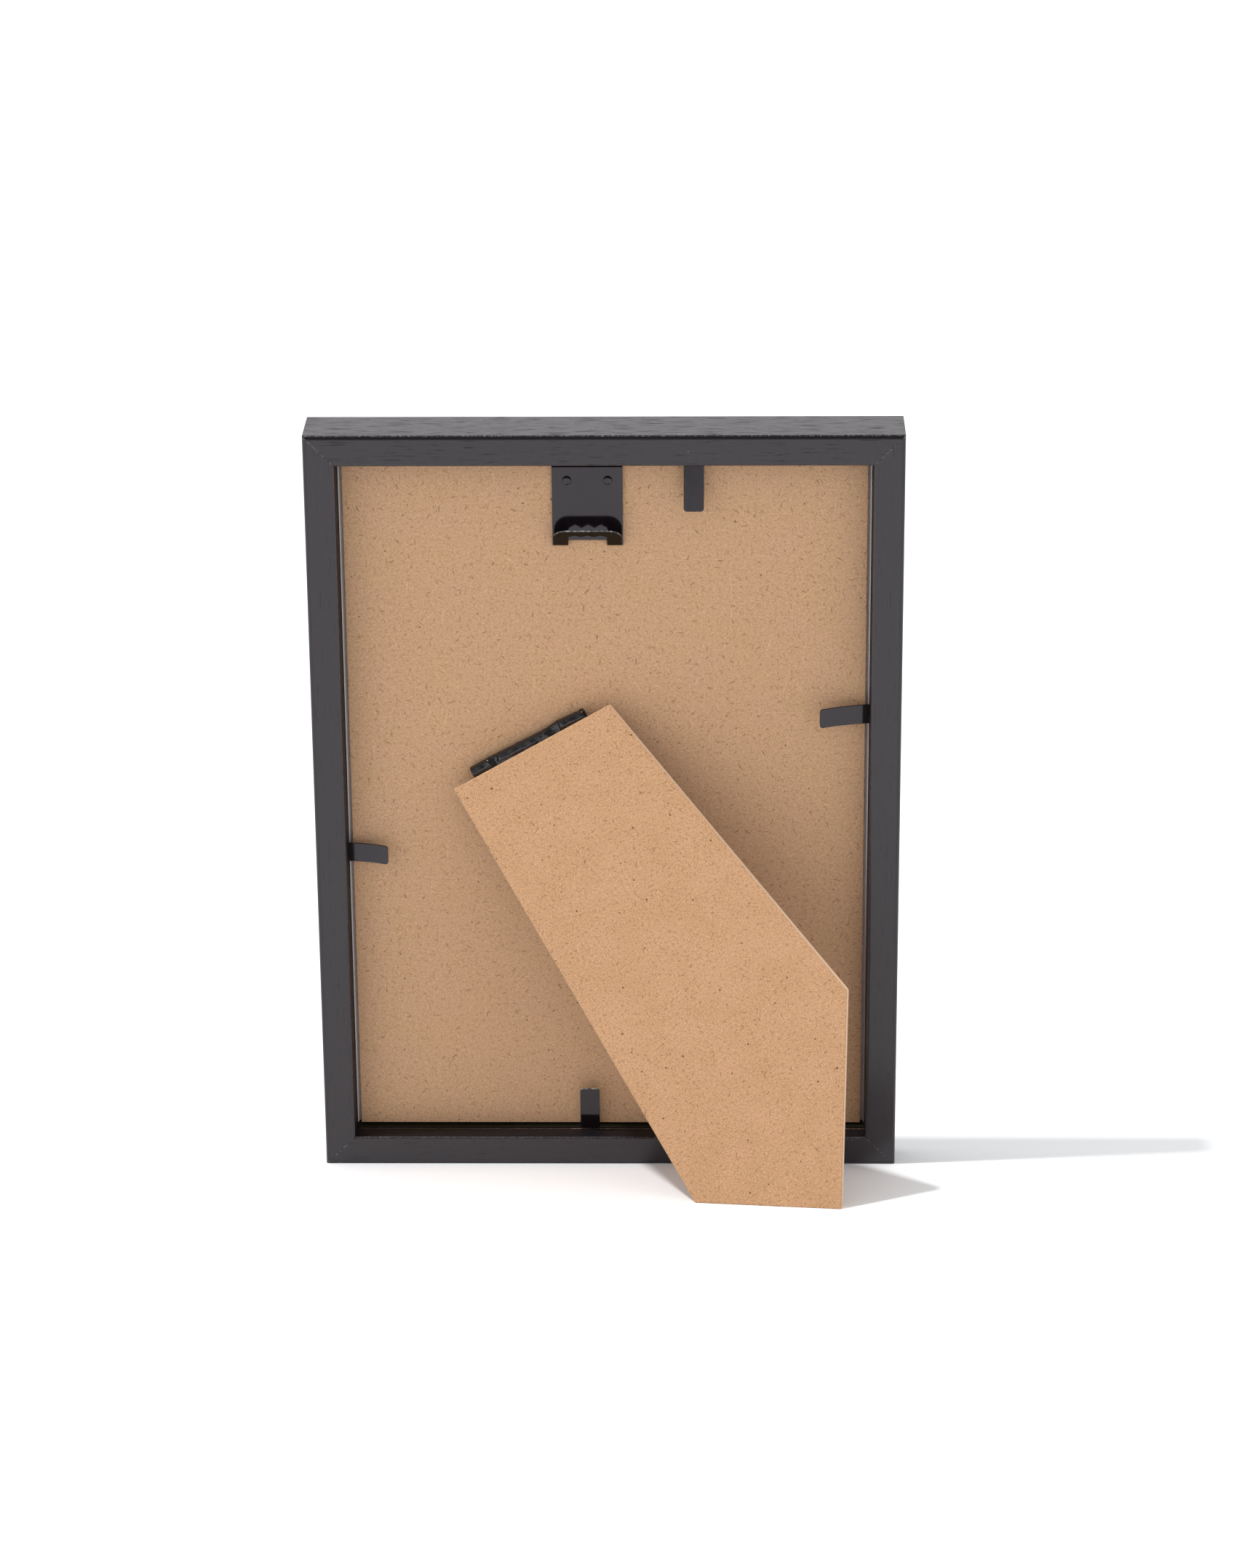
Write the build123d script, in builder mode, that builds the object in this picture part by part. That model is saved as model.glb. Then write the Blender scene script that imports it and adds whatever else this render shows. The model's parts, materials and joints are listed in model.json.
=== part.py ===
"""Easel back photo frame for a 13 x 18 cm picture, standing upright on its opened leg.

Millimetres, +Z up. The picture faces -Y and the leg stands behind, towards +Y. Pieces are drawn on
the rear face of the frame, as someone behind it sees them: X to the right, Y up the frame, Z outwards.
Left and right in the names of pieces are those of someone who looks at the picture.
"""
import os
from math import cos, radians, sin, tan

from build123d import *

os.makedirs("parts", exist_ok=True)

# Picture and the rebate that takes it
photo_width = 130.0
photo_height = 180.0
photo_room = 1.0  # rebate beyond the photo, on each side

# Wrapped moulding
moulding_depth = 17.1
rear_wall = 7.8  # width of a rail's rear face
sight_lip = 5.0  # how far the front lip covers the glass
lip_thickness = 4.6
arris = 0.8  # small round on the wrapped edges

# Sheets in the rebate, from the lip to the back
glass_thickness = 2.0
glass_play = 0.3
insert_thickness = 0.3
insert_side_play = 0.1
insert_end_play = 0.3
board_thickness = 2.5
board_play = 1.0
board_drop = 0.5  # the board has slipped this far down from the middle

# Retaining tabs: place along the rail from its middle, length and lift of each blade
tab_width = 5.0
tab_thickness = 0.5
tab_tip_round = 0.8
tab_bend_gap = 0.06  # between a tab's fixed tang and its bent blade
tab_above_board = 1.85
tang_length = 4.0
groove_length = 4.5  # depth of the saw groove in the rebate wall
groove_play = 0.05
tab_places = {"bottom": -5.2, "left": 24.2, "top": -22.0, "right": 13.2}
tab_lengths = {"bottom": 12.1, "left": 12.8, "top": 12.5, "right": 10.3}
tab_lifts = {"bottom": 10.0, "left": 17.0, "top": 14.0, "right": 14.5}

# Hanger: plate, folded flap with three nail nests, rivets
hanger_x = -4.3
hanger_width = 17.5
hanger_height = 20.4
hanger_inset = 0.4  # below the board's upper edge
hanger_thickness = 0.8
hanger_top_round = 0.6
flap_length = 7.8
flap_inset = 0.3
flap_corner = 3.5
flap_angle = 43.0
notch_in_plate = 1.1
nest_count = 3
nest_pitch = 3.2
nest_base = 4.7
nest_rise = 0.9
nest_cut_over = 0.05  # how far the cut for the nests runs past the flap's faces
rivet_spacing = 10.1
rivet_drop = 3.8
rivet_head_radius = 1.2
rivet_flat_radius = 0.75
rivet_head_height = 0.6
rivet_shank_radius = 0.8
rivet_shank_length = 2.0  # in the board
rivet_play = 0.05

# Hinge: slanted barrel with two end knuckles on the board and the middle one on the leg
hinge_x = -19.5
hinge_height = 114.7
hinge_tilt = 30.0
knuckle_radius = 1.7
neck_radius = 1.15
left_knuckle = 5.6
left_neck = 2.3
middle_knuckle = 13.9
right_neck = 3.8
right_knuckle = 6.9
knuckle_gap = 0.1
barrel_lift = 0.2  # air between barrel and board
pin_radius = 0.85
pin_play = 0.05
pin_recess = 0.6
leaf_thickness = 0.7
leaf_length = 14.0
leaf_round = 2.0
leaf_clearance = 0.3
leg_leaf_width = 26.0
barb_width = 2.0
barb_length = 1.6
barb_spacing = 16.0
barb_down = 9.0
barb_play = 0.05

# Easel leg, with slopes counted from the frame's upright when the leg is folded in
leg_thickness = 3.0
leg_top_left = 21.7
leg_top_right = 23.6
leg_top_gap = 0.9  # upper edge below the hinge axis
leg_left_slope = 32.2
leg_right_slope = 41.9
leg_side_gap = 2.6  # to the rebate wall when folded in
leg_spare = 10.0  # length that the foot cut takes off
leg_open = 19.3

# Stance
lean = 12.0

# Sizes that follow
rebate_width = photo_width + 2 * photo_room
rebate_height = photo_height + 2 * photo_room
frame_width = rebate_width + 2 * rear_wall
frame_height = rebate_height + 2 * rear_wall
rebate_depth = moulding_depth - lip_thickness
insert_level = rebate_depth - glass_thickness
board_level = insert_level - insert_thickness
recess = board_level - board_thickness  # from the rails' rear face to the board's
groove_level = recess - tab_above_board - tab_thickness / 2
groove_width = tab_thickness + 2 * groove_play
board_width = rebate_width - 2 * board_play
board_height = rebate_height - 2 * board_play
board_middle = frame_height / 2 - board_drop
barrel_length = left_knuckle + left_neck + middle_knuckle + right_neck + right_knuckle
bore_radius = pin_radius + pin_play
axis_level = recess - barrel_lift - knuckle_radius
leg_outer = knuckle_radius + leg_thickness
leg_side = rebate_width / 2 - leg_side_gap - hinge_x
leg_foot = -hinge_height - leg_spare
leg_top_left_point = Vector(-leg_top_left, -leg_top_gap).rotate(Axis.Z, hinge_tilt)
leg_top_right_point = Vector(leg_top_right, -leg_top_gap).rotate(Axis.Z, hinge_tilt)
leg_shoulder = leg_top_right_point.Y - (leg_side - leg_top_right_point.X) / tan(radians(leg_right_slope))
leg_foot_left = leg_top_left_point.X + (leg_top_left_point.Y - leg_foot) * tan(radians(leg_left_slope))
cos_lean = cos(radians(lean))
sin_lean = sin(radians(lean))
arris_loss = arris * (cos_lean + sin_lean - 1)  # what the round takes off a leaning corner


def rear_plane(edge_y):
    """The rails' rear face, leaning back on its lower edge, which stands on the table at edge_y."""
    return Plane((0, edge_y, -arris_loss), x_dir=(-1, 0, 0), z_dir=(0, cos_lean, -sin_lean))


def hinge_on(rear):
    """Plane on the middle of the hinge axis: X along the axis, Z out of the back."""
    return Plane(rear * Pos(hinge_x, hinge_height, -axis_level) * Rot(Z=hinge_tilt))


def leg_sheet_on(rear):
    """Plane of the opened leg, with its X and Y square to the rails when the leg is folded in."""
    return Plane(hinge_on(rear) * Rot(X=-leg_open) * Rot(Z=-hinge_tilt))


def foot_reach():
    """How far behind the frame's lower rear edge the leg's foot stands on the table."""
    sheet = leg_sheet_on(rear_plane(0))
    shoulder = sheet.from_local_coords((leg_side, leg_shoulder, leg_outer))
    uncut_end = sheet.from_local_coords((leg_side, leg_foot, leg_outer))
    return (shoulder + (uncut_end - shoulder) * (shoulder.Z / (shoulder.Z - uncut_end.Z))).Y


# The origin is under the middle of the whole object, so the rear edge stands off it
front_reach = moulding_depth * cos_lean - arris_loss
rear_reach = max(frame_height * sin_lean, foot_reach())
back = rear_plane((front_reach - rear_reach) / 2)
board_face = back.offset(-recess)
hinge = hinge_on(back)
leg_face = Plane(hinge * Rot(X=-leg_open))
leg_sheet = leg_sheet_on(back)


def side_plane(turn, distance):
    """Plane at the middle of a rail's outer edge: X along the rail, Y to the picture, Z out of the back."""
    return Plane(back * Pos(0, frame_height / 2, 0) * Rot(Z=turn) * Pos(0, -distance, 0))


def across(plane):
    """Plane square to the X of another one: its X is the other's Y, its Y the other's Z."""
    return Plane(plane.origin, x_dir=plane.y_dir, z_dir=plane.x_dir)


side_planes = {
    "bottom": side_plane(0, frame_height / 2),
    "left": side_plane(90, frame_width / 2),
    "top": side_plane(180, frame_height / 2),
    "right": side_plane(270, frame_width / 2),
}
rail_lengths = {"bottom": frame_width, "left": frame_height, "top": frame_width, "right": frame_height}
pieces = {}


def mitred_rail(side, length):
    """One rail: the moulding's section, drawn out to its length and mitred at both ends."""
    with BuildPart() as rail:
        with BuildSketch(across(side)):
            with BuildLine():
                Polyline(
                    (0, 0),
                    (rear_wall, 0),
                    (rear_wall, -rebate_depth),
                    (rear_wall + sight_lip, -rebate_depth),
                    (rear_wall + sight_lip, -moulding_depth),
                    (0, -moulding_depth),
                    close=True,
                )
            make_face()
            levels = vertices().group_by(Axis.Y)
            fillet(levels[0] + levels[-1], arris)
            with Locations((rear_wall - groove_length / 2, -groove_level)):
                Rectangle(groove_length, groove_width, mode=Mode.SUBTRACT)
        extrude(amount=length / 2, both=True)
        for end in (-1, 1):
            corner = side.from_local_coords((end * length / 2, 0, 0))
            split(bisect_by=Plane(corner, z_dir=side.x_dir * end + side.y_dir), keep=Keep.BOTTOM)
    return rail


for name, side in side_planes.items():
    pieces["rail_" + name] = mitred_rail(side, rail_lengths[name])


# Glass pane, seated on the front lip
with BuildPart() as glass_pane:
    with BuildSketch(back.offset(-rebate_depth)):
        with Locations((0, frame_height / 2)):
            Rectangle(rebate_width - 2 * glass_play, rebate_height - 2 * glass_play)
    extrude(amount=glass_thickness)
pieces["glass_pane"] = glass_pane


# Loose paper sheet between glass and board
with BuildPart() as photo_insert:
    with BuildSketch(back.offset(-insert_level)):
        with Locations((0, frame_height / 2)):
            Rectangle(rebate_width - 2 * insert_side_play, rebate_height - 2 * insert_end_play)
    extrude(amount=insert_thickness)
pieces["photo_insert"] = photo_insert


# Hanger plate, with its origin on the fold line at the board's face
hanger_top = board_middle + board_height / 2 - hanger_inset
hanger = Plane(board_face * Pos(hanger_x, hanger_top - hanger_height, 0))
flap = Plane(hanger * Pos(0, 0, hanger_thickness / 2) * Rot(X=flap_angle))
notch_width = nest_count * nest_pitch
rivet_places = [(end * rivet_spacing / 2, hanger_height - rivet_drop) for end in (-1, 1)]

with BuildPart() as hanger_plate:
    with BuildSketch(across(hanger)):
        with Locations((hanger_height / 2, hanger_thickness / 2)):
            Rectangle(hanger_height, hanger_thickness)
        fillet(vertices().sort_by(Axis.X)[-2:].sort_by(Axis.Y)[-1], hanger_top_round)
        with Locations((0, hanger_thickness / 2)):
            Circle(hanger_thickness / 2)
    extrude(amount=hanger_width / 2, both=True)
    with BuildSketch(flap):
        with Locations((0, flap_length / 2)):
            Rectangle(hanger_width - 2 * flap_inset, flap_length)
        fillet(vertices().group_by(Axis.Y)[-1], flap_corner)
    extrude(amount=hanger_thickness / 2, both=True)
    with BuildSketch(hanger):
        with Locations((0, (notch_in_plate - hanger_thickness) / 2)):
            Rectangle(notch_width, notch_in_plate + hanger_thickness)
    extrude(amount=hanger_thickness, mode=Mode.SUBTRACT)
    with BuildSketch(flap):
        with BuildLine():
            teeth = [(-notch_width / 2, -hanger_thickness), (-notch_width / 2, nest_base)]
            for nest in range(nest_count):
                start = -notch_width / 2 + nest * nest_pitch
                teeth += [(start + nest_pitch / 2, nest_base + nest_rise), (start + nest_pitch, nest_base)]
            teeth += [(notch_width / 2, -hanger_thickness)]
            Polyline(*teeth, close=True)
        make_face()
    extrude(amount=hanger_thickness / 2 + nest_cut_over, both=True, mode=Mode.SUBTRACT)
    with BuildSketch(hanger):
        with Locations(*rivet_places):
            Circle(rivet_shank_radius + rivet_play)
    extrude(amount=hanger_thickness, mode=Mode.SUBTRACT)
pieces["hanger_plate"] = hanger_plate


# Two low button-headed rivets that hold the hanger on the board
with BuildPart() as hanger_rivets:
    for place in rivet_places:
        rivet = Plane(hanger * Pos(*place, hanger_thickness))
        with BuildSketch(rivet.offset(-hanger_thickness - rivet_shank_length)):
            Circle(rivet_shank_radius)
        extrude(amount=hanger_thickness + rivet_shank_length)
        with BuildSketch(rivet):
            Circle(rivet_head_radius)
        with BuildSketch(rivet.offset(rivet_head_height)):
            Circle(rivet_flat_radius)
        loft()
pieces["hanger_rivets"] = hanger_rivets


# Hinge barrel, in stretches along the axis from its left end as seen from behind
barrel_left = -barrel_length / 2
neck_left = barrel_left + left_knuckle
middle_left = neck_left + left_neck
middle_right = middle_left + middle_knuckle
neck_right = middle_right + right_neck
barrel_right = neck_right + right_knuckle
barb_places = [(end * barb_spacing / 2, -barb_down) for end in (-1, 1)]
hinge_axis = Axis(hinge.origin, hinge.x_dir)


def knuckle_section(stations):
    """Half section of a knuckle, through pairs of place along the axis and outer radius."""
    with BuildSketch(hinge) as section:
        with BuildLine():
            Polyline((stations[0][0], bore_radius), *stations, (stations[-1][0], bore_radius), close=True)
        make_face()
    return section.sketch


left_section = knuckle_section([(barrel_left, knuckle_radius), (neck_left, knuckle_radius)])
right_section = knuckle_section([(neck_right, knuckle_radius), (barrel_right, knuckle_radius)])
middle_section = knuckle_section(
    [
        (neck_left + knuckle_gap, neck_radius),
        (middle_left, knuckle_radius),
        (middle_right, knuckle_radius),
        (neck_right - knuckle_gap, neck_radius),
    ]
)


# Leaf on the board with the two end knuckles and two barbs
with BuildPart() as hinge_board_leaf:
    with BuildSketch(Plane(hinge * Pos(0, 0, -knuckle_radius - barrel_lift))):
        with Locations((0, -leaf_length / 2)):
            Rectangle(barrel_length, leaf_length)
        fillet(vertices().group_by(Axis.Y)[0], leaf_round)
        with Locations(((neck_left + neck_right) / 2, 0)):
            Rectangle(neck_right - neck_left, 2 * (knuckle_radius + leaf_clearance), mode=Mode.SUBTRACT)
    extrude(amount=leaf_thickness)
    revolve(left_section, hinge_axis)
    revolve(right_section, hinge_axis)
    with BuildSketch(Plane(hinge * Pos(0, 0, -knuckle_radius - barrel_lift - barb_length))):
        with Locations(*barb_places):
            Rectangle(barb_width, leaf_thickness)
    extrude(amount=barb_length)
pieces["hinge_board_leaf"] = hinge_board_leaf


# Pin that the three knuckles turn on
with BuildPart() as hinge_pin:
    with BuildSketch(across(hinge)):
        Circle(pin_radius)
    extrude(amount=barrel_length / 2 - pin_recess, both=True)
pieces["hinge_pin"] = hinge_pin


# Leaf on the leg with the middle knuckle, its necked ends and two barbs
with BuildPart() as hinge_leg_leaf:
    with BuildSketch(leg_face.offset(knuckle_radius - leaf_thickness)):
        with Locations(((middle_left + middle_right) / 2, -leaf_length / 2)):
            Rectangle(middle_knuckle, leaf_length)
        with Locations((0, -knuckle_radius - leaf_clearance)):
            Rectangle(leg_leaf_width, leaf_length - knuckle_radius, align=(Align.CENTER, Align.MAX))
    extrude(amount=leaf_thickness)
    revolve(middle_section, hinge_axis)
    with BuildSketch(leg_face.offset(knuckle_radius)):
        with Locations(*barb_places):
            Rectangle(barb_width, leaf_thickness)
    extrude(amount=barb_length)
pieces["hinge_leg_leaf"] = hinge_leg_leaf


# Easel leg, cut level with the table at its foot
with BuildPart() as easel_leg:
    with BuildSketch(leg_sheet.offset(knuckle_radius)):
        with BuildLine():
            Polyline(
                leg_top_left_point,
                leg_top_right_point,
                (leg_side, leg_shoulder),
                (leg_side, leg_foot),
                (leg_foot_left, leg_foot),
                close=True,
            )
        make_face()
    extrude(amount=leg_thickness)
    split(bisect_by=Plane.XY, keep=Keep.TOP)
    with BuildSketch(leg_face.offset(knuckle_radius)):
        with Locations(*barb_places):
            Rectangle(barb_width + 2 * barb_play, leaf_thickness + 2 * barb_play)
    extrude(amount=barb_length + barb_play, mode=Mode.SUBTRACT)
pieces["easel_leg"] = easel_leg


# Backing board, with holes for the rivets and slits for the hinge's barbs
with BuildPart() as backing_board:
    with BuildSketch(board_face):
        with Locations((0, board_middle)):
            Rectangle(board_width, board_height)
    extrude(amount=-board_thickness)
    with BuildSketch(hanger):
        with Locations(*rivet_places):
            Circle(rivet_shank_radius + rivet_play)
    extrude(amount=-rivet_shank_length - rivet_play, mode=Mode.SUBTRACT)
    with BuildSketch(Plane(hinge * Pos(0, 0, -knuckle_radius - barrel_lift))):
        with Locations(*barb_places):
            Rectangle(barb_width + 2 * barb_play, leaf_thickness + 2 * barb_play)
    extrude(amount=-barb_length - barb_play, mode=Mode.SUBTRACT)
pieces["backing_board"] = backing_board


def bent_blade(pivot, length):
    """The free part of a tab: rounded where it bends, with eased corners at its tip."""
    with BuildPart() as blade:
        with BuildSketch(across(pivot)):
            Circle(tab_thickness / 2)
            with Locations((length / 2, 0)):
                Rectangle(length, tab_thickness)
        extrude(amount=tab_width / 2, both=True)
        upright_edges = edges().filter_by(Axis(pivot.origin, pivot.z_dir))
        fillet(upright_edges.sort_by(Axis(pivot.origin, pivot.y_dir))[-2:], tab_tip_round)
    return blade


# Tabs: each bends where it leaves the groove in the rebate wall
bend_at = rear_wall + tab_bend_gap + tab_thickness / 2
for name, side in side_planes.items():
    pivot = Plane(side * Pos(tab_places[name], bend_at, -groove_level) * Rot(X=tab_lifts[name]))
    pieces["tab_" + name] = bent_blade(pivot, tab_lengths[name])


# The four tangs of the tabs, held in the groove
with BuildPart() as tab_tangs:
    for name, side in side_planes.items():
        with BuildSketch(side.offset(-groove_level)):
            with Locations((tab_places[name], rear_wall - tang_length / 2)):
                Rectangle(tab_width, tang_length)
        extrude(amount=tab_thickness / 2, both=True)
pieces["tab_tangs"] = tab_tangs


for name, piece in pieces.items():
    piece.part.label = name
    export_step(piece.part, f"parts/{name}.step")
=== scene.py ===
"""Looks of an easel back photo frame, seen from behind as it stands on its opened leg."""
import json
import math

import bmesh
import bpy
from mathutils import Matrix, Vector

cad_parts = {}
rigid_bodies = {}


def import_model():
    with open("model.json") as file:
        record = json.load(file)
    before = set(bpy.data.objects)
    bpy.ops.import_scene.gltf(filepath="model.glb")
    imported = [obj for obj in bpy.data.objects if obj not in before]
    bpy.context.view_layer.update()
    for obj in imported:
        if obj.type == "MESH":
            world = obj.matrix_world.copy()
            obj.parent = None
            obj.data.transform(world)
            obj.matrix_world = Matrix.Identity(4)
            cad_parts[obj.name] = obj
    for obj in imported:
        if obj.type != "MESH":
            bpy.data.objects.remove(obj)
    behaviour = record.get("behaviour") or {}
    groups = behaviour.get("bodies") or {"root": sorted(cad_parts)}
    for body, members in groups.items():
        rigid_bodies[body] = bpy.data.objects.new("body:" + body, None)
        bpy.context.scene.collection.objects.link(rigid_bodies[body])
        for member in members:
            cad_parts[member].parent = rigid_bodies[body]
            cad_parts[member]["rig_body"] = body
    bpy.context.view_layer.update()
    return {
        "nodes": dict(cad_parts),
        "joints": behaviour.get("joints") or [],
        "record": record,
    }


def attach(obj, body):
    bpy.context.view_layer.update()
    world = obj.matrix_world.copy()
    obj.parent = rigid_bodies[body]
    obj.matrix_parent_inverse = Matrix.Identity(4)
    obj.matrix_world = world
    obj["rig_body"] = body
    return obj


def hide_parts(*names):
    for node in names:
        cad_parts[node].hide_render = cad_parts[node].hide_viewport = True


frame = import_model()


# Rails: four lengths of MDF moulding wrapped in black foil with an embossed wood grain, mitred and
# glued at the corners. The foil turns into the rebate as far as the saw groove, and the raw board
# shows below it; both are painted dark as the shade of the rebate. Handling has left pale flecks on
# the mitres and on the outer arrises, where a painted highlight is mixed in, and the rounded arris
# carries a painted dark reflection.
class Tone:
    """A socket in a finish's node tree: sums on it add Math nodes, and node() adds any other kind."""

    def __init__(self, tree, socket):
        self.tree = tree
        self.socket = socket

    def node(self, kind, settings=None, inputs=None, out=0):
        """Adds a node: its settings first, then the values or links of its inputs."""
        added = self.tree.nodes.new("ShaderNode" + kind)
        for name, value in (settings or {}).items():
            setattr(added, name, value)
        for key, value in (inputs or {}).items():
            if isinstance(value, Tone):
                self.tree.links.new(value.socket, added.inputs[key])
            else:
                added.inputs[key].default_value = value
        return Tone(self.tree, added.outputs[out])

    def also(self, out):
        """Another output of the same node."""
        return Tone(self.tree, self.socket.node.outputs[out])

    def math(self, operation, first, second):
        return self.node("Math", {"operation": operation}, {0: first, 1: second})

    def __add__(self, other):
        return self.math("ADD", self, other)

    def __sub__(self, other):
        return self.math("SUBTRACT", self, other)

    def __rsub__(self, other):
        return self.math("SUBTRACT", other, self)

    def __mul__(self, other):
        return self.math("MULTIPLY", self, other)

    def __truediv__(self, other):
        return self.math("DIVIDE", self, other)

    def __lt__(self, other):
        return self.math("LESS_THAN", self, other)

    def __gt__(self, other):
        return self.math("GREATER_THAN", self, other)

    def __abs__(self):
        return self.math("ABSOLUTE", self, 0)

    __radd__ = __add__
    __rmul__ = __mul__

    def least(self, other):
        return self.math("MINIMUM", self, other)

    def most(self, other):
        return self.math("MAXIMUM", self, other)

    def rise(self, low, high):
        """0 up to low and 1 from high on, with a smooth step between them."""
        ends = {"Value": self, "From Min": low, "From Max": high}
        return self.node("MapRange", {"interpolation_type": "SMOOTHSTEP"}, ends)

    def near(self, place, full, none):
        """1 within a distance of a place, falling smoothly to 0 at a wider one."""
        return 1 - abs(self - place).rise(full, none)

    def between(self, low, high):
        """The colour low where this is 0, and high where it is 1."""
        return self.node("Mix", {"data_type": "RGBA"}, {0: self, 6: low, 7: high}, out=2)


def new_finish(name):
    """An empty finish: its material, its shader, and the place on the piece in the shared frame."""
    material = bpy.data.materials.new(name)
    material.use_nodes = True
    tree = material.node_tree
    coordinates = tree.nodes.new("ShaderNodeTexCoord")
    return material, tree.nodes["Principled BSDF"], Tone(tree, coordinates.outputs["Object"])


def feed(shader, values):
    """Sets or links the sockets of a finish's shader."""
    for name, value in values.items():
        if isinstance(value, Tone):
            value.tree.links.new(value.socket, shader.inputs[name])
        else:
            shader.inputs[name].default_value = value


def on_grid(place, grid):
    """The place in millimetres on a piece's own grid."""
    frame_of_piece = {
        "Vector": place,
        "Location": grid.translation,
        "Rotation": grid.to_euler(),
        "Scale": (0.001, 0.001, 0.001),
    }
    return place.node("Mapping", {"vector_type": "TEXTURE"}, frame_of_piece)


def stretched(place, factors):
    """The place with its three directions scaled."""
    return place.node("VectorMath", {"operation": "MULTIPLY"}, {0: place, 1: factors})


def noise(place, scale, detail=2.0, roughness=0.5):
    """Soft noise about 0.5, with a number of bumps per millimetre."""
    shape = {"Vector": place, "Scale": scale, "Detail": detail, "Roughness": roughness}
    return place.node("TexNoise", None, shape)


def bumped(height, distance, strength=1.0):
    """A normal from a height between 0 and 1, with the depth in metres."""
    return height.node("Bump", None, {"Height": height, "Distance": distance, "Strength": strength})


def reach(node, direction):
    """The least and the greatest place of a piece along a direction."""
    places = [vertex.co.dot(direction) for vertex in frame["nodes"][node].data.vertices]
    return min(places), max(places)


def grid_at(origin, right, up):
    """A grid with its X to the right, its Y up and its Z out of the face."""
    grid = Matrix((right, up, right.cross(up))).transposed().to_4x4()
    grid.translation = origin
    return grid


def copied(node):
    """A CAD piece as a mesh to work on, with its flat faces whole."""
    knit = bmesh.new()
    knit.from_mesh(frame["nodes"][node].data)
    bmesh.ops.remove_doubles(knit, verts=knit.verts, dist=1e-6)
    bmesh.ops.dissolve_limit(knit, angle_limit=math.radians(0.5), verts=knit.verts, edges=knit.edges)
    return knit


def ease(knit, edge, sharp_from=35):
    """Rounds the sharp edges of a mesh."""
    sharp = [e for e in knit.edges if e.is_manifold and e.calc_face_angle() > math.radians(sharp_from)]
    shape = {"segments": 2, "profile": 0.5, "affect": "EDGES", "clamp_overlap": True}
    bmesh.ops.bevel(knit, geom=sharp, offset=edge, **shape)
    return knit


def stand_for(node, slot, knit, *finishes):
    """Turns a mesh into the piece that stands for a CAD node, on the same body."""
    for face in knit.faces:
        face.smooth = True
    shape = bpy.data.meshes.new(node + "_made")
    knit.to_mesh(shape)
    knit.free()
    for finish in finishes:
        shape.materials.append(finish)
    piece = bpy.data.objects.new(node + "_made", shape)
    bpy.context.scene.collection.objects.link(piece)
    piece.modifiers.new("even_shading", "WEIGHTED_NORMAL")
    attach(piece, frame["nodes"][node]["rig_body"])
    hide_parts(node)


mounts = {mount["name"]: mount for mount in frame["record"]["mounts"]}
joints = {joint["name"]: joint for joint in frame["joints"]}
out = Vector(mounts["wall_face"]["axis"]).normalized()
right = Vector((-1, 0, 0))
up = out.cross(right)
rail_bottom_edge = reach("rail_bottom", up)[0]
rail_top_edge = reach("rail_top", up)[1]
rail_rear = reach("rail_top", out)[1]
half_width = 1000 * reach("rail_left", right)[1]
half_height = 500 * (rail_top_edge - rail_bottom_edge)
rear_grid = grid_at(up * (rail_bottom_edge + rail_top_edge) / 2 + out * rail_rear, right, up)
bottom_tab = rear_grid.inverted() @ Vector(joints["bottom_tab_bend"]["pos_m"]) * 1000

foil_grey = (0.021, 0.0176, 0.0208, 1)
foil_pore_and_shade = (0.006, 0.005, 0.006, 1)
foil_fleck_and_highlight = (0.36, 0.35, 0.355, 1)
raw_board_in_shade = (0.012, 0.011, 0.006, 1)
raw_pale = (0.4, 0.25, 0.17, 1)
rear_wall = 7.8
arris = 0.8
groove = -bottom_tab.z
rebate_depth = 1000 * (rail_rear - reach("glass_pane", out)[0])
tab_half = 2.5
bare_from = 46.0
bare_to = 54.0
rail_round = 0.00007

foil, shader, place = new_finish("black_grained_foil")

# Where a place lies: how far in from the outer edge, on which rail, and along it
spot = on_grid(place, rear_grid)
x = spot.node("SeparateXYZ", None, {0: spot})
y = x.also(1)
z = x.also(2)
side_gap = half_width - abs(x)
end_gap = half_height - abs(y)
upright = side_gap < end_gap
top = (1 - upright) * (y > 0)
bottom = (1 - upright) * (y < 0)
along = x + (y - x) * upright
across = side_gap.least(end_gap)
fibre = spot.node("CombineXYZ", None, {0: along + upright * 400, 1: across, 2: z})

# Pores of the embossed grain, stronger on the top rail than on the others
side_face = (0 - z).rise(0.4 * arris, arris)
streaks = noise(stretched(fibre, (0.13, 2.9, 2.3)), 1.0, 2.0, 0.55) + 0.08 * side_face
fine = noise(stretched(fibre, (0.5, 6.0, 3.0)), 1.0, 2.0, 0.6)
grain = (streaks.rise(0.59, 0.72) + 0.3 * fine.rise(0.45, 0.75)).least(1.0)
grain = grain * (1 - 0.5 * upright - 0.45 * bottom)
speckle = noise(stretched(fibre, (1.5, 2.5, 2.5)), 1.0, 3.0, 0.7)

# Wear and painted light: a painted dark reflection on the rounded arris, pale flecks on the mitres, pale
# flecks on the arris that are partly wear and partly a painted highlight, and single grains of dust
# Painted dark reflection on the rounded arris, stronger on the top rail
arris_shade = (1 - (across - z).rise(0.9 * arris, 1.45 * arris)) * (0.2 + 0.8 * top)
mitre = (side_gap - end_gap).near(0, 0.05, 0.2) * z.near(0, 0.3, 0.6)
mitre = mitre * noise(spot, 0.9, 3.0, 0.7).rise(0.42, 0.62)
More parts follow.
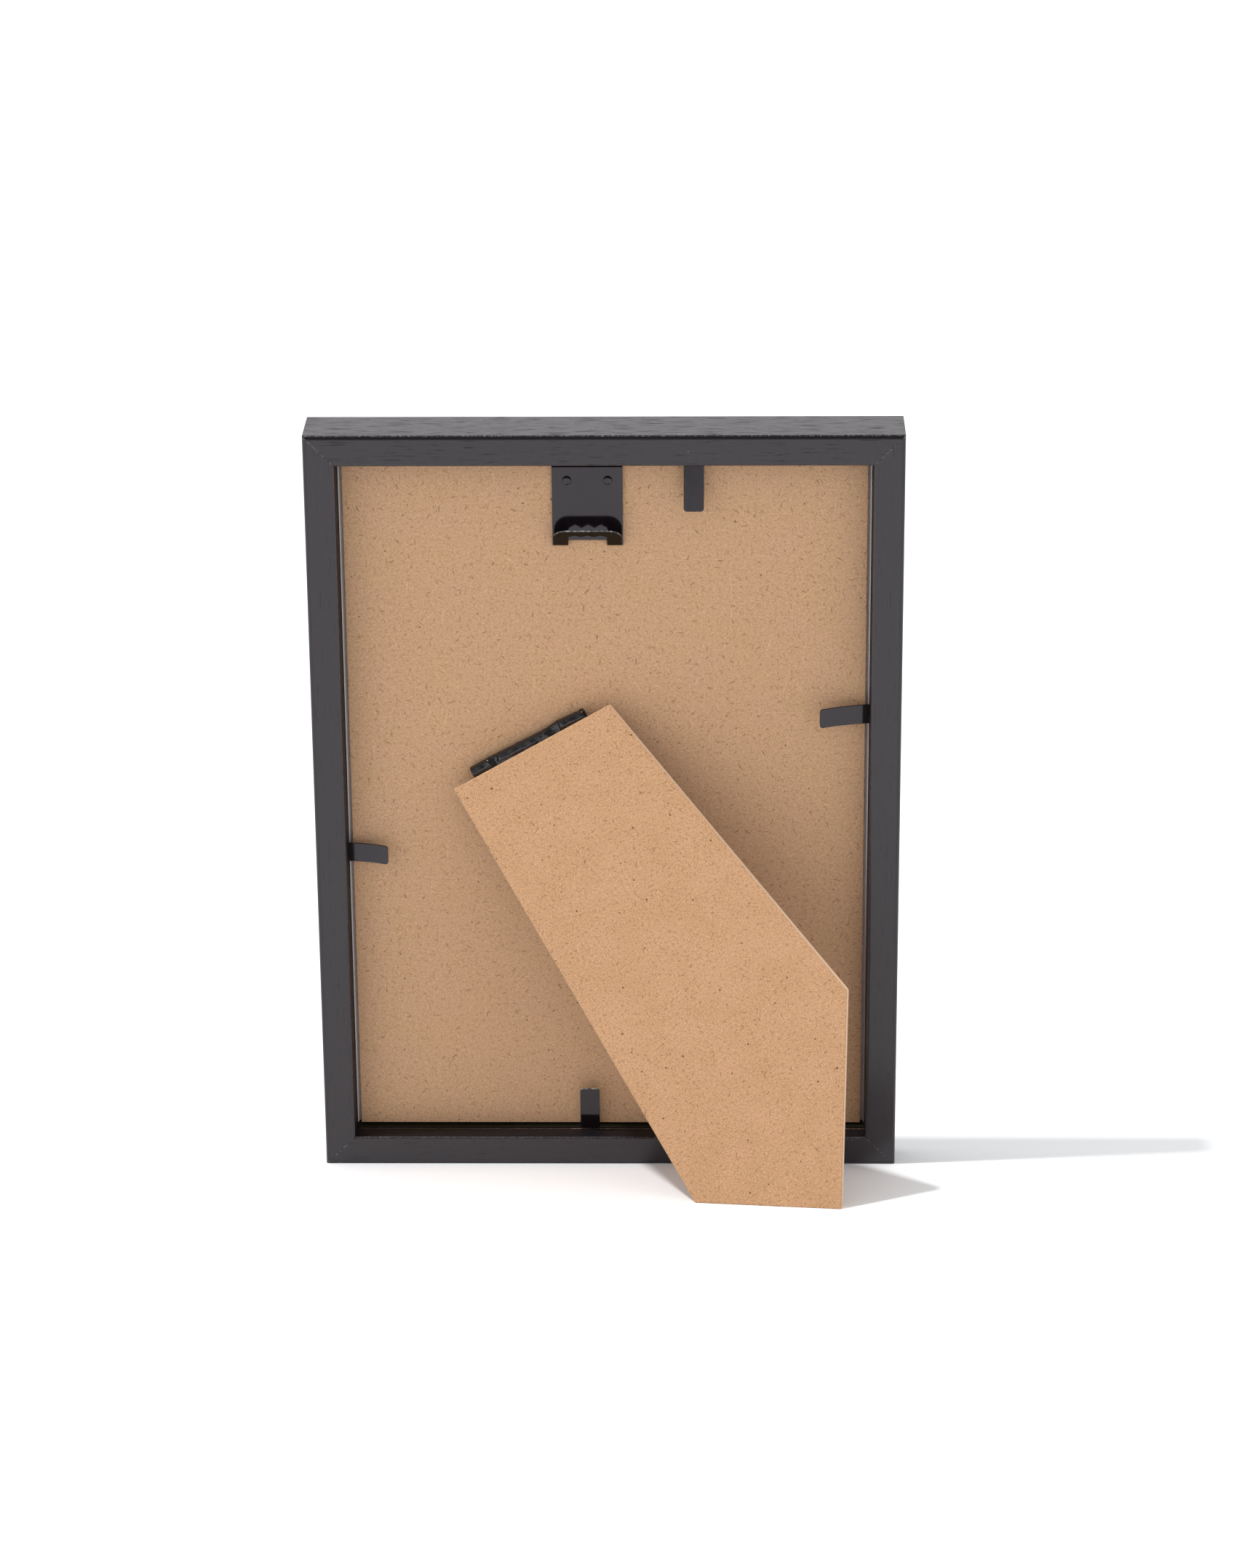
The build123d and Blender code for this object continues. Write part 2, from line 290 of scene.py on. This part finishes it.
# Pale line along the outer arris: partly rubbed flecks, partly a painted highlight, stronger on the top
# rail
outer_fleck_and_highlight = z.near(-0.9 * arris, 0.2, 0.55) * (1 - across.rise(0.1, 0.35)) * speckle.rise(0.48, 0.7)
inner_line = across.near(rear_wall - 0.3 * arris, 0.05, 0.3) * z.near(0, 0.2, 0.6)
inner_line = inner_line * speckle.rise(0.42, 0.7)
wear_and_highlight = mitre * 0.45 + outer_fleck_and_highlight * (0.06 + 0.5 * top) + inner_line * (0.08 + 0.12 * bottom)
dust_cells = spot.node("TexVoronoi", None, {"Vector": stretched(fibre, (0.7, 1, 1)), "Scale": 0.2})
dust_lots = spot.node("SeparateColor", None, {0: dust_cells.also(1)})
dust = (1 - (dust_cells / (0.02 + 0.03 * dust_lots)).rise(0.4, 1.0)) * (dust_lots.also(1) > 0.5) * 0.55

# Wall of the rebate: foil down to the groove, darkened by painted shade, with chips along it, and raw
# board below, painted near black as shade
shaded_wall = across.rise(rear_wall - 0.15, rear_wall - 0.05) * (z + rebate_depth > -0.05)
chip = abs(x - bottom_tab.x).near(tab_half + 1.3, 0.3, 2.2).most(0.8 * x.rise(bare_from, bare_to))
raw_line = shaded_wall * (z + groove).near(0.4, 0.08, 0.16 + 0.25 * chip) * (0.4 + 0.4 * chip) * bottom
raw = shaded_wall * (0 - z).rise(groove - 0.5, groove - 0.2)
# Painted shade: the arris and the rebate wall take the pore colour, and the raw board below the groove is
# near black
foil_colour = (grain * 0.8).most(arris_shade * 0.9).between(foil_grey, foil_pore_and_shade)
foil_colour = (shaded_wall * 0.7).between(foil_colour, foil_pore_and_shade)
foil_colour = raw.between(foil_colour, raw_board_in_shade)
foil_colour = (raw_line * speckle.rise(0.3, 0.6)).between(foil_colour, raw_pale)
foil_colour = wear_and_highlight.most(dust).least(1.0).between(foil_colour, foil_fleck_and_highlight)
feed(shader, {
    "Base Color": foil_colour,
    "Roughness": 0.55 + 0.2 * grain,
    "Specular IOR Level": 0.1,
    "Coat Weight": (0.94 - 0.5 * grain) * (1 - 0.8 * shaded_wall.most(arris_shade)),
    "Coat Roughness": 0.27,
    "Coat Tint": (1.0, 0.93, 0.99, 1),
    "Normal": bumped(1 - streaks, 0.00005, 0.4),
})

for rail in ("rail_top", "rail_bottom", "rail_left", "rail_right"):
    stand_for(rail, "wrapped_moulding", ease(copied(rail), rail_round), foil)


# Glass pane: clear float glass cut to the rebate, loose between the front lip and the insert. Its
# surface is polished, with the faint smears that wiping leaves.
glass_round = 0.00015

glass, shader, place = new_finish("clear_float_glass")
smears = noise(stretched(on_grid(place, rear_grid), (0.05, 0.15, 1)), 1.0, 4.0).rise(0.5, 0.8)
feed(shader, {
    "Base Color": (0.93, 0.975, 0.955, 1),
    "Roughness": 0.01 + 0.03 * smears,
    "Transmission Weight": 1.0,
    "IOR": 1.5,
})
stand_for("glass_pane", "clear_glass", ease(copied("glass_pane"), glass_round), glass)


# Photo insert: a loose sheet of pale grey paper behind the glass, left plain. It is a little wider
# than the board, and its two long margins curl up beside it.
margin = 0.00095
curl = 0.0022
curl_steps = 6

paper, shader, place = new_finish("plain_insert_paper")
spot = on_grid(place, rear_grid)
pulp = noise(spot, 3.0, 4.0, 0.6)
feed(shader, {
    "Base Color": pulp.rise(0.3, 0.7).between((0.84, 0.81, 0.86, 1), (0.92, 0.89, 0.93, 1)),
    "Roughness": 0.7 + 0.15 * pulp,
    "Normal": bumped(pulp, 0.00003, 0.5),
})
sheet_left, sheet_right = reach("photo_insert", right)
sheet_front, sheet_rear = reach("photo_insert", out)
places = [(sheet_left + margin * step / curl_steps) for step in range(curl_steps + 1)]
places += [(sheet_right - margin * step / curl_steps) for step in range(curl_steps, -1, -1)]
knit = bmesh.new()
columns = []
for across_sheet in places:
    to_edge = min(across_sheet - sheet_left, sheet_right - across_sheet)
    lift = curl * max(0.0, 1 - to_edge / margin) ** 2
    column = []
    for height in reach("photo_insert", up):
        for level in (sheet_front, sheet_rear):
            column.append(knit.verts.new(right * across_sheet + up * height + out * (level + lift)))
    columns.append(column)
for one, next_one in zip(columns, columns[1:]):
    for low, high in ((0, 1), (1, 3), (3, 2), (2, 0)):
        knit.faces.new((one[low], one[high], next_one[high], next_one[low]))
for front_low, rear_low, front_high, rear_high in (columns[0], columns[-1]):
    knit.faces.new((front_low, rear_low, rear_high, front_high))
bmesh.ops.recalc_face_normals(knit, faces=knit.faces)
stand_for("photo_insert", "insert_paper", knit, paper)


# Backing board: thin raw MDF, pressed from wood fibre, loose in the rebate under the tabs. Single
# dark and pale fibres and bark specks lie in its face, and its sawn edges are paler.
def scattered(flat, spacing, seed):
    """Scatters one mark in each cell of a flat face: the way to it, and three lots for it."""
    moved = flat.node("VectorMath", {"operation": "ADD"}, {0: flat, 1: (37.1 * seed, 53.7 * seed, 0)})
    cells = {"Vector": moved, "Scale": 1 / spacing}
    middle = flat.node("TexVoronoi", {"voronoi_dimensions": "2D"}, cells, out=2)
    way = flat.node("VectorMath", {"operation": "SUBTRACT"}, {0: moved, 1: middle})
    return way, flat.node("SeparateColor", None, {0: middle.also(1)})


def fibres(flat, spacing, length, width, share, seed):
    """Single fibres with tapered ends, with sizes in millimetres."""
    way, lots = scattered(flat, spacing, seed)
    spin = {"Vector": way, "Angle": lots * math.tau}
    lengthwise = flat.node("VectorRotate", {"rotation_type": "Z_AXIS"}, spin)
    run = flat.node("SeparateXYZ", None, {0: lengthwise})
    fullness = 1 - (abs(run) / ((0.3 + 0.7 * lots.also(2)) * length / 2)).rise(0.1, 1.0)
    body = 1 - (abs(run.also(1)) / (fullness * width + 0.01)).rise(0.0, 1.0)
    return body * fullness.rise(0, 0.3) * (lots.also(1) < share)


def specks(flat, spacing, size, share, seed):
    """Uneven specks of bark, with sizes in millimetres."""
    way, lots = scattered(flat, spacing, seed)
    distance = flat.node("VectorMath", {"operation": "LENGTH"}, {0: way}, out=1)
    return (1 - (distance / ((0.3 + 0.7 * lots) * size)).rise(0.4, 1.0)) * (lots.also(1) < share)


def fibreboard(name, grid, thickness, colours, felt_size, contrast, marks):
    """Raw MDF with fibres and specks in its faces, and paler edges between them."""
    material, shader, place = new_finish(name)
    spot = on_grid(place, grid)
    depth = spot.node("SeparateXYZ", None, {0: spot}).also(2)
    drift = {0: noise(spot, 0.8, 3.0, 0.65).also(1), 1: (0.8, 0.8, 0), 2: stretched(spot, (1, 1, 0))}
    flat = spot.node("VectorMath", {"operation": "MULTIPLY_ADD"}, drift)
    felt = noise(spot, 1 / felt_size, 2.0, 0.55)
    ragged = 0.12 + 0.12 * noise(spot, 2.0, 3.0, 0.7)
    edge = (0 - depth).rise(ragged, ragged + 0.08) * (depth + thickness).rise(ragged, ragged + 0.08)
    colour = noise(spot, 0.1, 3.0).rise(0.35, 0.65).between(colours["pink"], colours["olive"])
    tone = 1 + contrast * (felt.rise(0.25, 0.75) - 0.5)
    colour = colour.node("VectorMath", {"operation": "SCALE"}, {0: colour, "Scale": tone})
    for tint, weight, kind, sizes in marks:
        colour = (kind(flat, *sizes) * weight).between(colour, colours[tint])
    layers = noise(stretched(spot, (1.2, 1.2, 5)), 1.0, 3.0)
    cut = layers.rise(0.3, 0.75).between(colours["edge"], colours["edge_shade"])
    feed(shader, {
        "Base Color": edge.between(colour, cut),
        "Roughness": 0.78 + 0.1 * felt,
        "Specular IOR Level": 0.25,
        "Normal": bumped(felt, 0.00005, 0.6),
    })
    return material


board_colours = {
    "pink": (0.533, 0.325, 0.196, 1),
    "olive": (0.529, 0.326, 0.188, 1),
    "dark": (0.09, 0.04, 0.016, 1),
    "brown": (0.28, 0.14, 0.062, 1),
    "pale": (0.76, 0.47, 0.285, 1),
    "edge": (0.66, 0.46, 0.3, 1),
    "edge_shade": (0.54, 0.35, 0.21, 1),
}

# Each mark has a tint, its strength and a kind, then spacing, sizes, share of the cells and a seed
board_marks = [
    ("brown", 0.4, fibres, (1.5, 1.5, 0.22, 0.85, 1)),
    ("pale", 0.38, fibres, (1.6, 1.8, 0.2, 0.85, 2)),
    ("brown", 0.46, fibres, (2.2, 2.1, 0.22, 0.7, 3)),
    ("brown", 0.7, fibres, (3.6, 2.4, 0.24, 0.45, 4)),
    ("dark", 0.6, fibres, (6.5, 2.6, 0.24, 0.4, 5)),
    ("pale", 0.55, fibres, (9.0, 9.0, 0.15, 0.5, 6)),
    ("dark", 0.75, specks, (6.5, 0.34, 0.5, 7)),
    ("brown", 0.6, specks, (3.0, 0.32, 0.6, 8)),
]
board_round = 0.00015
board_face = reach("backing_board", out)[1]
board_grid = rear_grid.copy()
board_grid.translation += out * (board_face - rail_rear)
board_thickness = 1000 * (board_face - reach("backing_board", out)[0])
board_felt = 0.42
board_contrast = 0.3
board_mdf = fibreboard(
    "thin_raw_mdf", board_grid, board_thickness, board_colours, board_felt, board_contrast, board_marks
)
board_reach = [reach("backing_board", way) for way in (right, up, out)]
board_low, board_high = (Vector(corner) for corner in zip(*board_reach))
corner_grid = grid_at(right * board_low.x + up * board_low.y + out * board_low.z, right, up)
knit = bmesh.new()
bmesh.ops.create_cube(knit, size=1, matrix=Matrix.Translation((0.5, 0.5, 0.5)))
bmesh.ops.scale(knit, vec=board_high - board_low, verts=knit.verts)
bmesh.ops.transform(knit, matrix=corner_grid, verts=knit.verts)
stand_for("backing_board", "mdf_board", ease(knit, board_round), board_mdf)


# Hanger plate and rivets: black lacquered sheet steel with a flap folded out of it, whose teeth hold
# a nail, and two low button-headed rivets through the board. The lacquer mirrors what is close to it,
# is duller under the flap, and is rubbed off the flap's thinner free edge, whose bare steel also carries
# painted glints.
def lacquer(name, grid, black, roughness, gloss=1.55, dents=0.000003):
    """Black stoving lacquer on steel, with shallow dents and a few dust nibs."""
    material, shader, place = new_finish(name)
    spot = on_grid(place, grid)
    waves = noise(spot, 0.5, 2.0)
    nib_cells = spot.node("TexVoronoi", None, {"Vector": spot, "Scale": 0.32})
    lots = spot.node("SeparateColor", None, {0: nib_cells.also(1)})
    nibs = (1 - (nib_cells / (0.02 + 0.04 * lots)).rise(0.4, 1.0)) * (lots.also(1) > 0.6)
    feed(shader, {
        "Base Color": (nibs * 0.6).between(black, (0.12, 0.11, 0.12, 1)),
        "Roughness": roughness * (0.6 + 0.8 * waves) + 0.2 * nibs,
        "IOR": gloss,
        "Specular Tint": (1.0, 0.94, 0.985, 1),
        "Normal": bumped(waves, dents),
    })
    return material


def steel_rubs_and_glints(name, grid):
    """A cut steel edge with its lacquer rubbed off, and painted glints on the brightest patches."""
    material, shader, place = new_finish(name)
    # Pale patches: partly bare steel, partly painted glints
    rubs_and_glints = noise(on_grid(place, grid), 0.8, 3.0, 0.7).rise(0.45, 0.72)
    feed(shader, {
        "Base Color": rubs_and_glints.between((0.05, 0.047, 0.042, 1), (0.42, 0.41, 0.39, 1)),
        "Roughness": 0.45 - 0.2 * rubs_and_glints,
    })
    return material


def turned(knit, grid, profile, sides=32):
    """Adds a turned solid: its profile is pairs of radius and height in millimetres on a grid's Z."""
    rings = []
    for radius, height in profile:
        turns = [math.tau * step / sides for step in range(sides)]
        places = [Vector((radius * math.cos(turn), radius * math.sin(turn), height)) for turn in turns]
        rings.append([knit.verts.new(grid @ (place / 1000)) for place in places])
    for low, high in zip(rings, rings[1:]):
        for step in range(sides):
            after = (step + 1) % sides
            knit.faces.new((low[step], low[after], high[after], high[step]))
    knit.faces.new(rings[0])
    knit.faces.new(rings[-1])


solid_head_height = 0.6
shank_radius = 0.8
shank_depth = 2.6
head_radius = 1.18
head_flat = 0.5
head_height = 0.5
dome_steps = 5
plate_thickness = 0.0008
plate_round = 0.00006
flap_angle = 43
flap_over = 5
flap_stretch = 1.06
flap_length = 0.0078
flap_edge = 0.00035
flap_thin_from = 0.4
flap_edge_from = 0.5
flap_clear = 0.0012

plate_black = (0.007, 0.005, 0.0065, 1)
flap_black = (0.006, 0.005, 0.004, 1)
black_lacquer = lacquer("black_plate_lacquer", board_grid, plate_black, roughness=0.11)
dull_lacquer = lacquer("dull_flap_lacquer", board_grid, flap_black, roughness=0.2, gloss=1.12)
bare_edge_and_glints = steel_rubs_and_glints("rubbed_edge_and_painted_glints", board_grid)
flap_way = up * math.cos(math.radians(flap_angle)) + out * math.sin(math.radians(flap_angle))
flap_in = flap_way.cross(right)
over_turn = Matrix.Rotation(math.radians(flap_over), 3, right)
plate_foot = reach("hanger_plate", up)[0]
fold = up * (plate_foot + plate_thickness / 2) + out * (board_face + plate_thickness / 2)
knit = copied("hanger_plate")
for vertex in knit.verts:
    from_fold = vertex.co - fold
    along_flap = from_fold.dot(flap_way)
    if from_fold.dot(out) > plate_thickness:
        if along_flap > flap_thin_from * flap_length and from_fold.dot(flap_in) > 0:
            from_fold -= flap_in * (plate_thickness - flap_edge)
        from_fold += flap_way * along_flap * (flap_stretch - 1)
        vertex.co = fold + over_turn @ from_fold
ease(knit, plate_round)
knit.normal_update()
for face in knit.faces:
    from_fold = face.calc_center_median() - fold
    on_edge = abs(face.normal.dot(flap_in)) < 0.8 and face.normal.dot(flap_way) > 0.1
    at_edge = on_edge and from_fold.dot(flap_way) > flap_edge_from * flap_length
    under_flap = face.normal.dot(flap_in) < -0.9
    if from_fold.dot(out) > flap_clear:
        face.material_index = 2 if at_edge else int(under_flap)
stand_for("hanger_plate", "black_steel", knit, black_lacquer, dull_lacquer, bare_edge_and_glints)

rivet_low, rivet_high = reach("hanger_rivets", right)
rivet_row = sum(reach("hanger_rivets", up)) / 2
plate_face = reach("hanger_rivets", out)[1] - solid_head_height / 1000
rivet_radius = 0.0012
rivet_profile = [(shank_radius, -shank_depth), (shank_radius, 0)]
for step in range(dome_steps + 1):
    turn = math.pi / 2 * step / dome_steps
    dome_radius = head_flat + (head_radius - head_flat) * math.cos(turn)
    rivet_profile.append((dome_radius, head_height * math.sin(turn)))
knit = bmesh.new()
for rivet_place in (rivet_low + rivet_radius, rivet_high - rivet_radius):
    rivet_grid = grid_at(right * rivet_place + up * rivet_row + out * plate_face, right, up)
    turned(knit, rivet_grid, rivet_profile)
bmesh.ops.recalc_face_normals(knit, faces=knit.faces)
stand_for("hanger_rivets", "black_steel", knit, black_lacquer)


# Hinge: two leaves of the same black steel, rolled round a wire pin, unevenly flared, and pinched where
# they meet. The board's leaf has the two end knuckles, and the leg's leaf the middle one. Barbs hold
# both in the fibreboard.
left_knuckle = 5.6
left_neck = 2.3
middle_knuckle = 13.9
right_neck = 3.8
right_knuckle = 6.9
knuckle_radius = 1.7
knuckle_gap = 0.1
bore = 0.9
mouth = 1.35
mouth_depth = 1.6
ring_spacing = 0.2
pinch = 0.95
pinch_turn = 38
pinch_half_turn = 70
pinch_spread = 0.75
lip = 0.3
lip_turn = 65
lip_half_turn = 65
lip_back = 0.3
lip_half = 1.1
end_round = 0.07
unevenness = 0.04
least_wall = 0.06
leaf_round = 0.00008
pin_round = 0.00015

hinge = joints["leg_fold"]
hinge_axis = Vector(hinge["axis"]).normalized()
hinge_grid = grid_at(Vector(hinge["pos_m"]), hinge_axis, out.cross(hinge_axis))
barrel_left = -(left_knuckle + left_neck + middle_knuckle + right_neck + right_knuckle) / 2
neck_left = barrel_left + left_knuckle
middle_left = neck_left + left_neck
middle_right = middle_left + middle_knuckle
neck_right = middle_right + right_neck
barrel_right = neck_right + right_knuckle

# How much wider the upper side of the barrel is at places along it
flares = (
    (barrel_left, 0.55),
    (neck_left, 0.45),
    (middle_left, 0.5),
    (middle_right, 0.0),
    (neck_right, 0.45),
    (barrel_right, -0.1),
)


def hump(place, middle, half):
    """1 in the middle, falling smoothly to 0 at half a width on both sides."""
    share = max(0.0, 1 - abs(place - middle) / half)
    return share * share * (3 - 2 * share)


def rolled_radius(place, turn):
    """Outer radius of the barrel, along it and by the turn from straight out to straight up."""
    facing = hump(turn, math.radians(pinch_turn), math.radians(pinch_half_turn))
    shoulder = hump(turn, math.radians(lip_turn), math.radians(lip_half_turn))
    radius = knuckle_radius + unevenness * math.sin(1.9 * place) * math.sin(2 * turn + 0.7 * place)
    stretches = zip(flares, flares[1:])
    (low, start), (high, end) = next((pair for pair in stretches if place <= pair[1][0]), flares[-2:])
    flare = start + (end - start) * (place - low) / (high - low)
    radius += flare * max(0.0, math.sin(turn))
    for low, high in ((neck_left, middle_left), (middle_right, neck_right)):
        radius -= pinch * facing * hump(place, (low + high) / 2, (high - low) * pinch_spread)
        radius += lip * shoulder * hump(place, low - lip_back, lip_half)
    return max(radius, bore + least_wall)


def rolled(knit, start, end):
    """Adds a stretch of the barrel as a closed tube with rounded ends, open at the barrel's own ends."""
    sides = 56
    steps = round((end - start) / ring_spacing)
    turns = [math.tau * step / sides - math.pi for step in range(sides)]
    rings = []
    for step in range(steps + 1):
        place = start + (end - start) * step / steps
        ease_in = min(place - start, end - place, end_round)
        loss = end_round - math.sqrt(end_round ** 2 - (end_round - ease_in) ** 2)
        rings.append((place, [rolled_radius(place, turn) - loss for turn in turns]))
    inside = [(end, bore), (start, bore)]
    if end == barrel_right:
        inside[:1] = [(end, mouth), (end - mouth_depth, mouth), (end - mouth_depth, bore)]
    if start == barrel_left:
        inside[-1:] = [(start + mouth_depth, bore), (start + mouth_depth, mouth), (start, mouth)]
    rings += [(place, [radius] * sides) for place, radius in inside]
    loops = []
    for place, radii in rings:
        loop = []
        for radius, turn in zip(radii, turns):
            point = Vector((place, radius * math.sin(turn), radius * math.cos(turn)))
            loop.append(knit.verts.new(hinge_grid @ (point / 1000)))
        loops.append(loop)
    for low, high in zip(loops, loops[1:] + loops[:1]):
        for step in range(sides):
            after = (step + 1) % sides
            knit.faces.new((low[step], low[after], high[after], high[step]))


def leaf_of(node):
    """A leaf's flat plate and barbs, without its knuckles."""
    knit = copied(node)
    to_hinge = hinge_grid.inverted()
    rolls = []
    for face in knit.faces:
        places = [to_hinge @ vertex.co * 1000 for vertex in face.verts]
        if all(math.hypot(place.y, place.z) < knuckle_radius + 0.02 for place in places):
            rolls.append(face)
    bmesh.ops.delete(knit, geom=rolls, context="FACES")
    bmesh.ops.holes_fill(knit, edges=[edge for edge in knit.edges if edge.is_boundary], sides=0)
    return ease(knit, leaf_round)


hinge_black = (0.013, 0.0135, 0.0135, 1)
hinge_lacquer = lacquer("black_hinge_lacquer", hinge_grid, hinge_black, roughness=0.12, dents=0.00011)
for leaf, stretches in (
    ("hinge_board_leaf", ((barrel_left, neck_left), (neck_right, barrel_right))),
    ("hinge_leg_leaf", ((neck_left + knuckle_gap, neck_right - knuckle_gap),)),
):
    knit = leaf_of(leaf)
    for start, end in stretches:
        rolled(knit, start, end)
    bmesh.ops.recalc_face_normals(knit, faces=knit.faces)
    stand_for(leaf, "black_steel", knit, hinge_lacquer)

wire, shader, place = new_finish("drawn_steel_wire")
draw_lines = noise(stretched(on_grid(place, hinge_grid), (0.3, 9, 9)), 1.0, 2.0)
feed(shader, {
    "Base Color": draw_lines.between((0.3, 0.3, 0.31, 1), (0.5, 0.5, 0.51, 1)),
    "Metallic": 1.0,
    "Roughness": 0.3 + 0.2 * draw_lines,
})
stand_for("hinge_pin", "pin_steel", ease(copied("hinge_pin"), pin_round), wire)


# Easel leg: thicker raw MDF, sawn to five sides. Its face is lighter and finer than the board's, its
# edges are pale and a little furry from the saw, and its foot is cut level with the table.
leg_round = 0.0003
leg_mesh = frame["nodes"]["easel_leg"].data
leg_out = max(leg_mesh.polygons, key=lambda face: face.area * (face.normal.y > 0)).normal.copy()
leg_face = reach("easel_leg", leg_out)[1]
leg_grid = grid_at(leg_out * leg_face, hinge_axis, leg_out.cross(hinge_axis))
leg_colours = {
    "pink": (0.524, 0.304, 0.168, 1),
    "olive": (0.496, 0.29, 0.154, 1),
    "dark": (0.085, 0.038, 0.014, 1),
    "brown": (0.26, 0.125, 0.05, 1),
    "pale": (0.72, 0.42, 0.23, 1),
    "edge": (0.82, 0.58, 0.4, 1),
    "edge_shade": (0.68, 0.46, 0.31, 1),
}
leg_marks = [
    ("brown", 0.5, fibres, (1.2, 1.4, 0.2, 0.7, 11)),
    ("pale", 0.52, fibres, (1.3, 1.5, 0.18, 0.7, 12)),
    ("brown", 0.66, fibres, (2.6, 1.9, 0.22, 0.45, 13)),
    ("dark", 0.55, fibres, (7.0, 2.2, 0.24, 0.35, 14)),
    ("dark", 0.85, specks, (5.5, 0.36, 0.45, 15)),
    ("brown", 0.65, specks, (2.2, 0.32, 0.6, 16)),
]
leg_thickness = 1000 * (leg_face - reach("easel_leg", leg_out)[0])
leg_felt = 0.38
leg_contrast = 0.4
leg_mdf = fibreboard(
    "sawn_raw_mdf", leg_grid, leg_thickness, leg_colours, leg_felt, leg_contrast, leg_marks
)
stand_for("easel_leg", "mdf_leg", ease(copied("easel_leg"), leg_round), leg_mdf)


# Retaining tabs: flat strips of the same black steel, pushed into the groove of each rail and bent
# down by hand onto the board, which leaves two of them slightly hollow. The end of the bottom tab's
# tip, which faces up, has a painted highlight in the rubbed-steel colour.
tab_bows = {"top": 0.0, "bottom": 0.0, "left": 0.04, "right": 0.045}
highlit_tip = "bottom"
bow_steps = 14
tab_round = 0.0001
tip_from = 0.85

for side, bow in tab_bows.items():
    bend = joints[side + "_tab_bend"]
    root = Vector(bend["pos_m"])
    knit = ease(copied("tab_" + side), tab_round)
    middle = sum((vertex.co for vertex in knit.verts), Vector()) / len(knit.verts)
    bend_axis = Vector(bend["axis"]).normalized()
    blade = (middle - root - bend_axis * (middle - root).dot(bend_axis)).normalized()
    rise = blade.cross(bend_axis)
    rise *= math.copysign(1, rise.dot(out))
    tip = max((vertex.co - root).dot(blade) for vertex in knit.verts)
    for step in range(1, bow_steps):
        cut = {"plane_co": root + blade * tip * step / bow_steps, "plane_no": blade}
        bmesh.ops.bisect_plane(knit, geom=knit.verts[:] + knit.edges[:] + knit.faces[:], dist=1e-7, **cut)
    for vertex in knit.verts:
        share = max(0.0, (vertex.co - root).dot(blade) / tip)
        vertex.co -= rise * tip * 4 * bow * share * (1 - share)
    knit.normal_update()
    for face in knit.faces:
        at_tip = (face.calc_center_median() - root).dot(blade) > tip_from * tip
        end_face = face.normal.dot(blade) > 0.4 and abs(face.normal.dot(rise)) < 0.8
        # The upward end of the bottom tab's tip takes the rubbed steel's colour as a painted highlight
        face.material_index = int(at_tip and end_face and side == highlit_tip)
    stand_for("tab_" + side, "black_steel", knit, black_lacquer, bare_edge_and_glints)
stand_for("tab_tangs", "black_steel", ease(copied("tab_tangs"), tab_round), black_lacquer)


# Table: a white sheet that the frame stands on, under one hard lamp high on the left, one weak soft
# lamp low on the left and the even light of a white room, which is dark only where the viewer stands.
table_half = 8.0
table_grey = (0.85, 0.85, 0.85, 1)
table_white = (0.955, 0.965, 0.985, 1)
table_mesh = bpy.data.meshes.new("table")
signs = ((-1, -1), (1, -1), (1, 1), (-1, 1))
corners = [(table_half * across_sign, table_half * along_sign, 0) for across_sign, along_sign in signs]
table_mesh.from_pydata(corners, [], [(0, 1, 2, 3)])
table = bpy.data.objects.new("table", table_mesh)
bpy.context.scene.collection.objects.link(table)

white, shader, place = new_finish("white_table")
path = place.node("LightPath", out="Is Camera Ray")
in_view = path.most(path.also("Is Glossy Ray")).most(path.also("Is Transmission Ray"))
table_colour = in_view.between(table_grey, table_white)
feed(shader, {"Base Color": table_colour, "Roughness": 0.9, "Specular IOR Level": 0.0})
table_mesh.materials.append(white)

room_light = 0.85
dark_side = 0.87
world = bpy.data.worlds.new("white_room")
world.use_nodes = True
bpy.context.scene.world = world
backdrop = world.node_tree.nodes["Background"]
path = Tone(world.node_tree, world.node_tree.nodes.new("ShaderNodeLightPath").outputs["Is Camera Ray"])
in_view = path.most(path.also("Is Transmission Ray"))
mirrored = path.also("Is Glossy Ray") * (1 - in_view)
way = path.node("TexCoord", out="Generated")
towards_viewer = path.node("SeparateXYZ", None, {0: way}).also(1).rise(0.05, 0.5)
room_seen = in_view * (1 - room_light) + mirrored * (1 - room_light - dark_side * towards_viewer)
feed(backdrop, {"Color": (1, 1, 1, 1), "Strength": room_light + room_seen})


def lamp(name, towards, spread, strength):
    """A far lamp in a direction from the frame, with its apparent size in degrees."""
    light = bpy.data.lights.new(name, "SUN")
    light.angle = math.radians(spread)
    light.energy = strength
    holder = bpy.data.objects.new(name, light)
    holder.rotation_euler = Vector(towards).to_track_quat("Z", "Y").to_euler()
    bpy.context.scene.collection.objects.link(holder)


lamp("hard_lamp", towards=(0.39, 0.243, 0.889), spread=2.5, strength=1.7)
lamp("side_lamp", towards=(0.75, 0.62, 0.25), spread=40.0, strength=0.25)

camera_data = bpy.data.cameras.new("camera")
camera_data.sensor_fit = "VERTICAL"
camera_data.sensor_height = 36.0
camera_data.lens = 105.36
camera = bpy.data.objects.new("camera", camera_data)
camera.location = (-0.025899, 1.144543, 0.296948)
camera.rotation_euler = (math.radians(80.3618), math.radians(0.1975), math.radians(-178.9917))
bpy.context.scene.collection.objects.link(camera)
bpy.context.scene.camera = camera
bpy.context.scene.view_settings.view_transform = "Standard"

bpy.context.view_layer.update()
